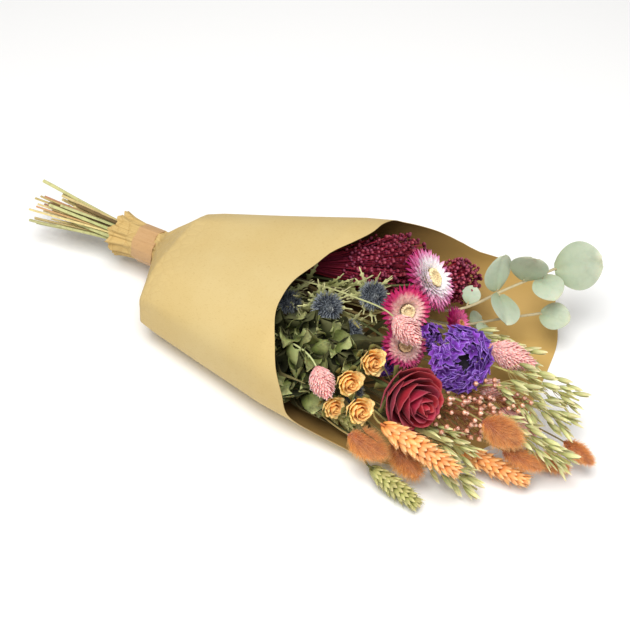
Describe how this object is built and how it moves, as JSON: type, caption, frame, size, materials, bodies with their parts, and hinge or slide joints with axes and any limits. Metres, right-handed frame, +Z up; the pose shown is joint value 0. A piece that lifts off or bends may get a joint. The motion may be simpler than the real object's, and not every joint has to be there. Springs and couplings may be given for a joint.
{
  "type": "wrapped flower bouquet",
  "caption": "Mixed bouquet of dried flowers, grasses and leaves in a kraft paper sleeve, tied with paper tape, lying on its side.",
  "frame": {"origin": "on the table, under the middle of the whole bouquet", "axes": "+X along the stalks from the cut ends towards the blooms, +Y towards the far side of the sleeve, +Z up"},
  "size_m": [0.615, 0.2852, 0.1068],
  "materials": {
    "kraft_paper": "matte, lightly creased",
    "paper_tape": "satin",
    "dry_stem": "matte",
    "rose_petal": "velvety",
    "spray_rose_petal": "matte",
    "strawflower_bract": "satin",
    "sea_holly": "matte, spiny",
    "broom_fruit": "matte",
    "statice_petal": "matte, papery",
    "canary_grass": "matte",
    "wheat_grain": "satin",
    "green_wheat_grain": "satin",
    "bunny_tail_fur": "furry",
    "oat_glume": "satin",
    "flax_seed_case": "pearly",
    "dry_leaf": "matte",
    "eucalyptus_leaf": "waxy, pale bloom"
  },
  "bodies": {
    "root": {"paper_wrapper": "kraft_paper", "neck_tape": "paper_tape", "rose_bloom": "rose_petal", "spray_rose_bloom_1": "spray_rose_petal", "spray_rose_bloom_2": "spray_rose_petal", "spray_rose_bloom_3": "spray_rose_petal", "spray_rose_bloom_4": "spray_rose_petal", "strawflower_bloom_1": "strawflower_bract", "strawflower_bloom_2": "strawflower_bract", "strawflower_bloom_3": "strawflower_bract", "strawflower_bloom_4": "strawflower_bract", "statice_bloom_1": "statice_petal", "statice_bloom_2": "statice_petal", "statice_bloom_3": "statice_petal", "phalaris_1": "canary_grass", "phalaris_2": "canary_grass", "phalaris_3": "canary_grass", "phalaris_4": "canary_grass", "phalaris_5": "canary_grass", "wheat_1": "wheat_grain", "wheat_2": "wheat_grain", "wheat_3": "green_wheat_grain", "wheat_4": "green_wheat_grain", "bunny_tail_1": "bunny_tail_fur", "bunny_tail_2": "bunny_tail_fur", "bunny_tail_3": "bunny_tail_fur", "bunny_tail_4": "bunny_tail_fur", "bunny_tail_5": "bunny_tail_fur", "bunny_tail_6": "bunny_tail_fur", "eucalyptus_1": "eucalyptus_leaf", "eucalyptus_2": "eucalyptus_leaf", "thistle_head_1": "sea_holly", "thistle_head_2": "sea_holly", "thistle_head_3": "sea_holly", "thistle_head_4": "sea_holly", "thistle_head_5": "sea_holly", "broom_bunch_1": "broom_fruit", "broom_bunch_2": "broom_fruit", "oat_1": "oat_glume", "oat_2": "oat_glume", "oat_3": "oat_glume", "oat_4": "oat_glume", "oat_5": "oat_glume", "oat_6": "oat_glume", "flax_1": "flax_seed_case", "flax_2": "flax_seed_case", "leafy_stem_1": "dry_leaf", "leafy_stem_2": "dry_leaf", "leafy_stem_3": "dry_leaf", "rose_stem": "dry_stem", "spray_rose_stem": "dry_stem", "strawflower_1_stem": "dry_stem", "strawflower_2_stem": "dry_stem", "strawflower_3_stem": "dry_stem", "strawflower_4_stem": "dry_stem", "thistle_a_stem": "dry_stem", "thistle_b_stem": "dry_stem", "statice_stem": "dry_stem"}
  },
  "joints": []
}
